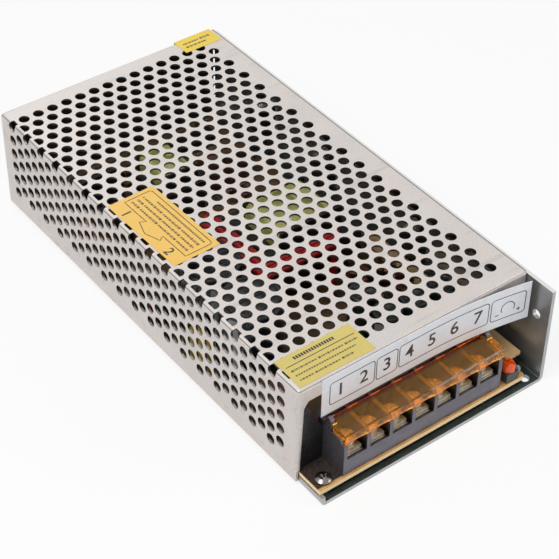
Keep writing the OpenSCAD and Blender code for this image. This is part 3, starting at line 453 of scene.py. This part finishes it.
def add_piece(name, vertices, faces, material, smooth=False, body=BODY):
    """A mesh piece from points in millimetres, riding on a body."""
    mesh = bpy.data.meshes.new(name)
    mesh.from_pydata([Vector(v) * MM for v in vertices], [], faces)
    mesh.validate()
    mesh.update()
    for face in mesh.polygons:
        face.use_smooth = smooth
    piece = bpy.data.objects.new(name, mesh)
    bpy.context.scene.collection.objects.link(piece)
    mesh.materials.append(material)
    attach(piece, body)
    return piece


def in_steps(path, step):
    """The points of a path with others between them, no further than a step apart."""
    fine = [path[0]]
    for a, b in zip(path, path[1:]):
        count = max(1, math.ceil(math.dist(a, b) / step))
        fine += [tuple(a[i] + (b[i] - a[i]) * k / count for i in (0, 1)) for k in range(1, count + 1)]
    return fine


def circle(x, y, r, degrees):
    """Points of a circle at the angles given."""
    return [(x + r * math.cos(math.radians(a)), y + r * math.sin(math.radians(a))) for a in degrees]


def rounded_outline(x0, y0, x1, y1, r, steps=6):
    """Corners of a rounded rectangle, anticlockwise."""
    points = []
    for x, y, start in ((x1 - r, y1 - r, 0), (x0 + r, y1 - r, 90),
                        (x0 + r, y0 + r, 180), (x1 - r, y0 + r, 270)):
        points += circle(x, y, r, [start + 90 * k / steps for k in range(steps + 1)])
    return points


class Shape:
    """Collects faces, mapped from a flat drawing to the place where they lie."""

    def __init__(self, place):
        self.place = place
        self.points = []
        self.faces = []

    def face(self, outline):
        """One face with its corners on the drawing."""
        start = len(self.points)
        self.points += [self.place(*p) for p in outline]
        self.faces.append(tuple(range(start, start + len(outline))))

    def line(self, points, width, closed=False, step=2.0):
        """A ribbon of even width along points, cut into short steps so that it can bend."""
        fine = in_steps(list(points) + ([points[0]] if closed else []), step)
        last = len(fine) - 1
        sides = []
        for k, (x, y) in enumerate(fine):
            before = fine[k - 1] if k else fine[-2 if closed else 0]
            after = fine[k + 1] if k < last else fine[1 if closed else last]
            dx, dy = after[0] - before[0], after[1] - before[1]
            size = math.hypot(dx, dy) or 1
            across = (-dy / size * width / 2, dx / size * width / 2)
            sides.append(((x + across[0], y + across[1]), (x - across[0], y - across[1])))
        for (a, b), (c, d) in zip(sides, sides[1:]):
            self.face((a, b, d, c))

    def text(self, body, size, at, turn=0, weight=0.02):
        """Figures in the built-in plain typeface, centred at a point and turned in degrees."""
        curve = bpy.data.curves.new("figures", "FONT")
        curve.body, curve.size, curve.offset = body, size, weight
        curve.align_x = curve.align_y = "CENTER"
        holder = bpy.data.objects.new("figures", curve)
        bpy.context.scene.collection.objects.link(holder)
        bpy.context.view_layer.update()
        mesh = holder.to_mesh()
        start = len(self.points)
        c, s = math.cos(math.radians(turn)), math.sin(math.radians(turn))
        self.points += [self.place(v.co.x * c - v.co.y * s + at[0], v.co.x * s + v.co.y * c + at[1])
                        for v in mesh.vertices]
        self.faces += [tuple(start + i for i in f.vertices) for f in mesh.polygons]
        holder.to_mesh_clear()
        bpy.data.objects.remove(holder)
        bpy.data.curves.remove(curve)

    def piece(self, name, material, slot):
        """Makes the mesh piece."""
        return add_piece(name, self.points, self.faces, material)


class Solid:
    """Collects closed shapes into one mesh piece."""

    def __init__(self):
        self.points = []
        self.faces = []

    def lathe(self, at, profile, axis="z", steps=32):
        """A closed profile of (radius, height) turned round an axis through a point."""
        start, n = len(self.points), len(profile)
        for k in range(steps):
            angle = 2 * math.pi * k / steps
            for r, h in profile:
                x, y = r * math.cos(angle), r * math.sin(angle)
                turned = (x, y, h) if axis == "z" else (h, x, y)
                self.points.append(tuple(at[i] + turned[i] for i in range(3)))
        for k in range(steps):
            here, following = start + k * n, start + (k + 1) % steps * n
            for j in range(n):
                above = (j + 1) % n
                self.faces.append((here + j, following + j, following + above, here + above))

    def box(self, low, high):
        """A plain block between two corners."""
        start = len(self.points)
        self.points += [(x, y, z) for x in (low[0], high[0]) for y in (low[1], high[1])
                        for z in (low[2], high[2])]
        self.faces += [tuple(start + i for i in f) for f in
                       ((0, 1, 3, 2), (4, 6, 7, 5), (0, 4, 5, 1), (2, 3, 7, 6), (0, 2, 6, 4), (1, 5, 7, 3))]

    def blob(self, at, size, lumps, seed, rings=12, steps=20):
        """A squashed drop with a lumpy outline."""
        start = len(self.points)
        for j in range(rings + 1):
            polar = math.pi * j / rings
            for k in range(steps):
                a = 2 * math.pi * k / steps
                swell = 1 + lumps * (math.sin(3 * a + seed) + 0.6 * math.sin(5 * a + 2.3 * seed + polar * 2))
                r = math.sin(polar) * swell
                self.points.append((at[0] + size[0] * r * math.cos(a), at[1] + size[1] * r * math.sin(a),
                                    at[2] + size[2] * math.cos(polar)))
        for j in range(rings):
            for k in range(steps):
                a, b = start + j * steps + k, start + j * steps + (k + 1) % steps
                self.faces.append((a, a + steps, b + steps, b))

    def piece(self, name, material, slot):
        """Makes the mesh piece, smoothly shaded."""
        return add_piece(name, self.points, self.faces, material, smooth=True)


def islands(name):
    """Boxes in millimetres of the separate solids of a CAD node, from front to back."""
    grid = bmesh.new()
    grid.from_mesh(NODES[name].data)
    bmesh.ops.remove_doubles(grid, verts=grid.verts, dist=1e-6)
    grid.transform(NODES[name].matrix_world)
    left, boxes = set(grid.verts), []
    while left:
        found, edge = set(), {left.pop()}
        while edge:
            found |= edge
            edge = {e.other_vert(v) for v in edge for e in v.link_edges} - found
        left -= found
        boxes.append(tuple(Vector([pick(v.co[i] for v in found) / MM for i in range(3)])
                           for pick in (min, max)))
    grid.free()
    return sorted(boxes, key=lambda b: (b[0].y, b[0].x))


# ---------------------------------------------------------------- print on the labels

INK = ink("ink", srgb(44, 43, 47))
SMALL_INK = ink("small_ink", srgb(96, 84, 56))
INK_LIFT = 0.03                        # how far print stands off its film
WAYS = 7
BARRIER = 1.5                          # wall between two ways of the terminal block
STRIP_SHEET = 0.25                     # how far the strip's face stands off the cover
STRIP_FLAT = 44                        # length of the strip that lies on the cover
STRIP_BOW = 193                        # radius of its free end
STICKER_TILT = math.radians(1.2)       # of the selector sticker
STICKER_WIDTH = 19.0
block_low, block_high = box_mm("terminal_housing")
strip_low, strip_high = box_mm("marking_strip")
sticker_low, sticker_high = box_mm("selector_sticker")
cover_front = box_mm("perforated_cover")[0].y
way_pitch = (block_high.x - block_low.x - BARRIER) / WAYS


def way_x(k):
    """Middle of a way of the terminal block, counted from 0 at the left."""
    return block_low.x + BARRIER / 2 + (k + 0.5) * way_pitch


def on_strip(x, z):
    """A point of the strip's face, which bows forwards where it leaves the cover."""
    beyond = max(0, x - strip_low.x - STRIP_FLAT)
    bow = STRIP_BOW - math.sqrt(STRIP_BOW ** 2 - beyond ** 2)
    return (x, cover_front - STRIP_SHEET - bow - INK_LIFT, z)


def turn_mark(drawn, x, z):
    """An arc between a minus and a plus, over the trimmer."""
    radius, reach, arm, line = 2.6, 4.2, 0.7, 0.4
    drawn.line(circle(x, z - 0.6, radius, range(-30, 211, 15)), 0.35)
    signs = z - radius
    drawn.line([(x - reach - arm, signs), (x - reach + arm, signs)], line)
    drawn.line([(x + reach - arm, signs), (x + reach + arm, signs)], line)
    drawn.line([(x + reach, signs - arm), (x + reach, signs + arm)], line)


def strip_print():
    """Four plain frames, the numbers of the ways, and a turn mark over the trimmer."""
    drawn = Shape(on_strip)
    low, high = strip_low.z + 3.4, strip_high.z - 3.2
    middle = (low + high) / 2
    line, corner, inset = 0.34, 1.2, 0.4
    ways_end = way_x(WAYS - 1) + way_pitch / 2
    frames = [(way_x(first) - way_pitch / 2 + inset, way_x(last) + way_pitch / 2 - inset)
              for first, last in ((0, 1), (2, 2), (3, 6))]
    frames.append((ways_end + 0.6, strip_high.x - 1.8))
    for left, right in frames:
        drawn.line(rounded_outline(left, low, right, high, corner), line, closed=True)
    for k in range(WAYS):
        drawn.text(str(k + 1), 7.4, (way_x(k), middle), weight=0.09)
    turn_mark(drawn, (ways_end + strip_high.x - 1.2) / 2, middle)
    drawn.piece("strip_print", INK, "label_film")


def on_selector_sticker(u, v):
    """A point at u from the sticker's left edge and at v along the case from its middle."""
    middle_x = (sticker_low.x + sticker_high.x) / 2
    middle_y = (sticker_low.y + sticker_high.y) / 2
    c, s = math.cos(STICKER_TILT), math.sin(STICKER_TILT)
    across = u - STICKER_WIDTH / 2
    return (middle_x + across * c - v * s, middle_y + across * s + v * c, sticker_high.z + INK_LIFT)


def dashes(drawn, start, end, fixed, along, width, seed):
    """A row of short marks in place of small print, along u or v."""
    at, k = start, seed
    while at < end:
        k = (k * 7 + 3) % 11
        stop = min(at + 0.35 + k * 0.07, end)
        points = [(at, fixed), (stop, fixed)] if along == "u" else [(fixed, at), (fixed, stop)]
        drawn.line(points, width * (0.75 if k % 3 else 1))
        word_end = k == 4
        at = stop + (0.8 if word_end else 0.32)


def selector_print():
    """An arrow that points to the slider, between positions 1 and 2, and rows of small marks."""
    drawn = Shape(on_selector_sticker)
    left, right, half, corner = 5.9, 17.2, 18, 0.8
    shoulder, barb, tip = 4.7, (2.0, 6.2), 4.1
    drawn.line([(left - tip, 0), (left - barb[0], barb[1]), (left, shoulder), (left, half),
                (right - corner, half), (right, half - corner), (right, corner - half),
                (right - corner, -half), (left, -half), (left, -shoulder),
                (left - barb[0], -barb[1])], 0.3, closed=True)
    for figure, v in (("1", 12.6), ("2", -12.6)):
        drawn.text(figure, 5.4, (left - 3.1, v), turn=-90, weight=0.05)
    drawn.piece("selector_print", INK, "yellow_film")
    rows = Shape(on_selector_sticker)
    first_row, row_pitch, last_row_short = 2.2, 2.35, 5
    for i in range(4):
        row_end = half - 1.5 - (last_row_short if i == 3 else 0)
        dashes(rows, -half + 2, row_end, left + first_row + i * row_pitch, "v", 1.0, i + 2)
    rows.piece("selector_small_print", SMALL_INK, "yellow_film")


def front_sticker_print():
    """A rule, a row of thick marks behind it and three rows of small marks before it."""
    low, high = box_mm("front_sticker")
    rule = low.y + 9.4
    drawn = Shape(lambda x, y: (x, y, high.z + INK_LIFT))
    drawn.line([(low.x + 1.4, rule), (high.x - 1.4, rule)], 0.3)
    dashes(drawn, low.x + 6, high.x - 8, rule + 2.2, "u", 1.8, 5)
    drawn.piece("front_sticker_print", INK, "pale_yellow_film")
    rows = Shape(drawn.place)
    margin, row_pitch, shorter = 1.8, 2.3, 2.5
    for i in range(3):
        dashes(rows, low.x + margin, high.x - margin - i * shorter, rule - 2.2 - i * row_pitch,
               "u", 0.8, i + 4)
    rows.piece("front_sticker_small_print", SMALL_INK, "pale_yellow_film")


def back_sticker_print():
    """Two rows of small marks on the part that lies on top."""
    low, high = box_mm("back_sticker")
    drawn = Shape(lambda x, y: (x, y, high.z + INK_LIFT))
    margin, first_row, row_pitch, shorter = 2, 3.4, 2.4, 3
    for i in range(2):
        dashes(drawn, low.x + margin, high.x - margin - i * shorter, high.y - first_row - i * row_pitch,
               "u", 1.1, i + 3)
    drawn.piece("back_sticker_print", SMALL_INK, "yellow_film")


# ---------------------------------------------------------------- small things on the board

CANS = {"bulk_capacitors": "can_sleeve", "output_capacitors": "output_sleeve"}
board_top = box_mm("circuit_board")[1].z


def sleeve_lips():
    """The shrunk sleeve of each can curls over its rim and round its foot."""
    reach, sleeve = 1.2, 0.16
    for name, slot in CANS.items():
        drawn = Solid()
        for low, high in islands(name):
            r, at = (high.x - low.x) / 2, (low + high) / 2
            for z, inner, side in ((high.z, r - 1.5, -1), (board_top + 0.1, r - 0.4, 1)):
                profile = [(inner, 0), (inner, sleeve), (r - 0.5, 0.2), (r + 0.05, 0.05),
                           (r + sleeve, side * 0.4), (r + sleeve, side * reach), (r - 0.1, side * reach)]
                drawn.lathe((at.x, at.y, z), profile, steps=40)
        drawn.piece(name + "_sleeve_lips", PAINT[slot], slot)


def on_can(at, r, turn):
    """Wraps a drawing round a can: u along its girth from an angle, and the height z."""
    return lambda u, z: (at.x + r * math.cos(turn + u / r), at.y + r * math.sin(turn + u / r), z)


def sleeve_stripes():
    """A pale stripe down the negative side of each can."""
    pale = surface("stripe_print", srgb(176, 180, 178), 0.35, shade=0.08, patch=3, grain=0.6, depth=0.004)
    for name, slot in CANS.items():
        drawn = Shape(None)
        for i, (low, high) in enumerate(islands(name)):
            radius = (high.x - low.x) / 2 + INK_LIFT
            drawn.place = on_can((low + high) / 2, radius, math.radians(200 + 47 * i))
            for u in (-1.5, -0.5, 0.5, 1.5):
                drawn.line([(u, board_top + 3.4), (u, high.z - 1.6)], 1.02)
        drawn.piece(name + "_stripes", pale, slot)


def resistor_bands():
    """Four colour bands round each small resistor."""
    half = 0.25
    bands = (("band_brown", srgb(92, 52, 30), -2.1),
             ("band_black", srgb(24, 24, 26), -0.9),
             ("band_red", srgb(170, 34, 30), 0.3),
             ("band_gold", srgb(188, 150, 70), 2.2))
    for name, colour, along in bands:
        drawn = Solid()
        for low, high in islands("small_resistors"):
            at, r = (low + high) / 2, (high.y - low.y) / 2
            profile = [(r - 0.2, -half), (r + 0.04, -half), (r + 0.04, half), (r - 0.2, half)]
            drawn.lathe((at.x + along, at.y, high.z - r), profile, axis="x", steps=20)
        drawn.piece(name, surface(name, colour, 0.4, shade=0.08, patch=2, grain=0.4, depth=0.005),
                    "resistor_coating")


def board_print():
    """Thin pale outlines on the board round what stands on it."""
    pale = surface("board_print", srgb(176, 168, 148), 0.5, shade=0.1, patch=3, grain=0.5, depth=0.003)
    drawn = Shape(lambda x, y: (x, y, board_top + INK_LIFT))
    line, round_cans, round_boxes = 0.25, 0.7, 0.8
    for name in CANS:
        for low, high in islands(name):
            at, r = (low + high) / 2, (high.x - low.x) / 2 + round_cans
            drawn.line(circle(at.x, at.y, r, range(0, 360, 9)), line, closed=True)
    for name in ("film_capacitors", "line_capacitor", "disc_capacitors", "inrush_thermistor", "control_chip",
                 "bridge_rectifier", "small_resistors", "transformer_bobbin", "drive_bobbin"):
        for low, high in islands(name):
            outline = rounded_outline(low.x - round_boxes, low.y - round_boxes,
                                      high.x + round_boxes, high.y + round_boxes, 0.5, 2)
            drawn.line(outline, line, closed=True)
    drawn.piece("board_print", pale, "board")


def tape_layers():
    """The free ends of the tape on each winding: a wide one, and a narrower one on top of it."""
    for name in ("transformer_winding", "drive_winding"):
        low, high = box_mm(name)
        wide, deep = high.x - low.x, high.y - low.y
        drawn = Solid()
        drawn.box((low.x + wide * 0.16, low.y + 0.5, high.z - 0.02),
                  (low.x + wide * 0.62, high.y - 0.9, high.z + 0.1))
        drawn.box((low.x + wide * 0.2, low.y + 1.6, high.z + 0.08),
                  (low.x + wide * 0.84, low.y + deep * 0.6, high.z + 0.18))
        drawn.piece(name + "_tape_ends", PAINT["yellow_tape"], "yellow_tape")


def glue_beads():
    """Pale silicone between the bulk cans and at the feet of three output cans."""
    silicone = surface("silicone", srgb(196, 190, 186), 0.35, shade=0.1, patch=2, grain=0.8, depth=0.05,
                       Coat_Weight=0.3)
    drawn = Solid()
    front, behind = islands("bulk_capacitors")
    right, top = front[1].x, front[1].z - 4.2
    between = (front[1].y + behind[0].y) / 2
    drawn.blob((right - 6.2, between, top), (3.4, 2.2, 1.6), 0.09, 1.0)
    drawn.blob((right - 9.8, between + 0.5, top - 1), (2.6, 1.7, 1.2), 0.09, 2.0)
    for i, (low, high) in enumerate(islands("output_capacitors")[:3]):
        drawn.blob((high.x + 0.2, high.y - 3.4, board_top + 0.9), (2.4, 2.9, 1.3), 0.1, i + 3.0)
    drawn.piece("silicone_beads", silicone, "pad_silicone")


for make in (strip_print, selector_print, front_sticker_print, back_sticker_print, sleeve_lips,
             sleeve_stripes, resistor_bands, board_print, tape_layers, glue_beads):
    make()


# ---------------------------------------------------------------- stage, lights, camera

FLOOR_HALF = 3                         # metres
FLOOR_GAP = 0.0002                     # below the case's underside
FLOOR_GLOW = 0.82                      # share of plain white in the floor that is seen directly
SKY_STRENGTH = 0.55
CAMERA_AT = (-0.2822, -0.37338, 0.41751)
CAMERA_AZIMUTH = math.radians(37.8963)     # right of +Y
CAMERA_DOWN = math.radians(41.522)         # below level
CAMERA_ROLL = math.radians(1.0418)
CAMERA_LENS, CAMERA_SENSOR = 110.51, 36    # millimetres


def seen_directly(tree):
    """1 for rays from the camera, off a mirror or through glass."""
    path = node(tree, "ShaderNodeLightPath")
    mirrored = either(tree, path.outputs["Is Glossy Ray"], path.outputs["Is Transmission Ray"])
    return either(tree, path.outputs["Is Camera Ray"], mirrored)


def plain_floor():
    """A pale floor that shows white to the camera and keeps the soft shadow."""
    half = FLOOR_HALF
    mesh = bpy.data.meshes.new("floor")
    mesh.from_pydata([(-half, -half, 0), (half, -half, 0), (half, half, 0), (-half, half, 0)], [],
                     [(0, 1, 2, 3)])
    floor = bpy.data.objects.new("floor", mesh)
    floor.location.z = -FLOOR_GAP
    bpy.context.scene.collection.objects.link(floor)
    made = bpy.data.materials.new("floor")
    made.use_nodes = True
    tree = made.node_tree
    tree.nodes.remove(tree.nodes["Principled BSDF"])
    diffuse = node(tree, "ShaderNodeBsdfDiffuse", Color=(0.86, 0.86, 0.86, 1))
    glow = node(tree, "ShaderNodeEmission", Color=(1, 1, 1, 1), Strength=1.0)
    mix_shaders(tree, both(tree, seen_directly(tree), FLOOR_GLOW), diffuse, glow, "Material Output")
    mesh.materials.append(made)


def world_light():
    """A soft grey sky, paler overhead, which shows as white where it is seen directly."""
    world = bpy.data.worlds.new("studio")
    bpy.context.scene.world = world
    world.use_nodes = True
    tree = world.node_tree
    sky = tree.nodes["Background"]
    up = part_of(tree, node(tree, "ShaderNodeTexCoord").outputs["Generated"], "Z")
    height = rising(tree, up, 0, 0.9)
    tree.links.new(blend(tree, height, (0.42, 0.42, 0.44), (0.95, 0.95, 0.95)), sky.inputs["Color"])
    sky.inputs["Strength"].default_value = SKY_STRENGTH
    white = node(tree, "ShaderNodeBackground", Color=(1, 1, 1, 1), Strength=1.0)
    mix_shaders(tree, seen_directly(tree), sky, white, "World Output")


def soft_lamp(name, at, size, power, target=(0, 0, 0.02)):
    """A round area lamp that points at the case."""
    data = bpy.data.lights.new(name, "AREA")
    data.shape, data.size, data.energy = "DISK", size, power
    lamp = bpy.data.objects.new(name, data)
    lamp.location = at
    lamp.rotation_mode = "QUATERNION"
    lamp.rotation_quaternion = (Vector(target) - Vector(at)).to_track_quat("-Z", "Y")
    bpy.context.scene.collection.objects.link(lamp)


def studio_camera():
    """The camera stands off the front left corner, above the case."""
    data = bpy.data.cameras.new("camera")
    data.lens, data.sensor_width = CAMERA_LENS, CAMERA_SENSOR
    data.clip_start, data.clip_end = 0.01, 20
    camera = bpy.data.objects.new("camera", data)
    turned = Matrix.Rotation(-CAMERA_AZIMUTH, 4, "Z")
    tipped = Matrix.Rotation(math.pi / 2 - CAMERA_DOWN, 4, "X")
    rolled = Matrix.Rotation(CAMERA_ROLL, 4, "Z")
    camera.matrix_world = Matrix.Translation(CAMERA_AT) @ turned @ tipped @ rolled
    bpy.context.scene.collection.objects.link(camera)
    bpy.context.scene.camera = camera


plain_floor()
world_light()
soft_lamp("key", (-0.55, -0.1, 0.9), 0.6, 6)
soft_lamp("fill", (0.7, -0.7, 0.5), 0.5, 2.5)
soft_lamp("back", (0.2, 0.9, 0.7), 0.5, 0.7)
studio_camera()
bpy.context.scene.view_settings.view_transform = "Standard"
